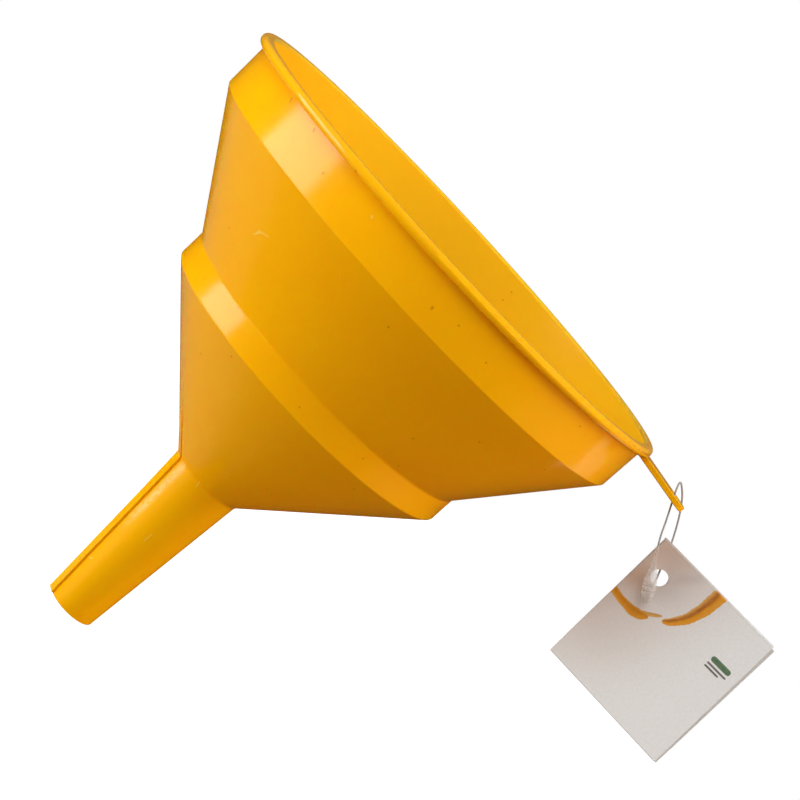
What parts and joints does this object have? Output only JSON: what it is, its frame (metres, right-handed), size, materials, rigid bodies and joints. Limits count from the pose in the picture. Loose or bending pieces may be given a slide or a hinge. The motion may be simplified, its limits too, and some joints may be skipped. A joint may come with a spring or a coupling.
{
  "type": "canning funnel",
  "caption": "Wide-mouth plastic kitchen funnel with a stepped conical bowl, long vented spout and hang tab, with a folded card tag on a cord loop.",
  "frame": {"origin": "centre of the spout's open end, on the funnel's axis", "axes": "+Z along the funnel's axis from the spout up to the mouth, +X from the axis towards the hang tab, +Y completes the right-handed frame; the tag's plane is parallel to XZ"},
  "size_m": [0.2847, 0.2, 0.1968],
  "materials": {
    "funnel_plastic": "glossy orange-yellow polypropylene",
    "cord_nylon": "grey nylon thread",
    "lock_clear": "translucent milky polypropylene",
    "tag_card": "warm grey coated card"
  },
  "bodies": {
    "funnel": {"funnel_body": "funnel_plastic"},
    "cord_loop": {"tag_cord": "cord_nylon", "lock_socket": "lock_clear", "lock_plug": "lock_clear"},
    "tag_front": {"tag_front_leaf": "tag_card"},
    "tag_back": {"tag_back_leaf": "tag_card"}
  },
  "joints": [
    {"name": "loop_swing", "type": "hinge", "parent": "funnel", "child": "cord_loop", "pos_m": [0.1173, 0, 0.19005], "axis": [0, 1, 0], "range_deg": [-18, 44]},
    {"name": "tag_swing", "type": "hinge", "parent": "cord_loop", "child": "tag_front", "pos_m": [0.1353, 0.0009, 0.167], "axis": [0, 1, 0], "range_deg": [-12, 12]},
    {"name": "leaf_fold", "type": "hinge", "parent": "tag_front", "child": "tag_back", "pos_m": [0.13488, 0.0009, 0.17799], "axis": [0.9993, 0, 0.0384], "range_deg": [0, 8]}
  ]
}
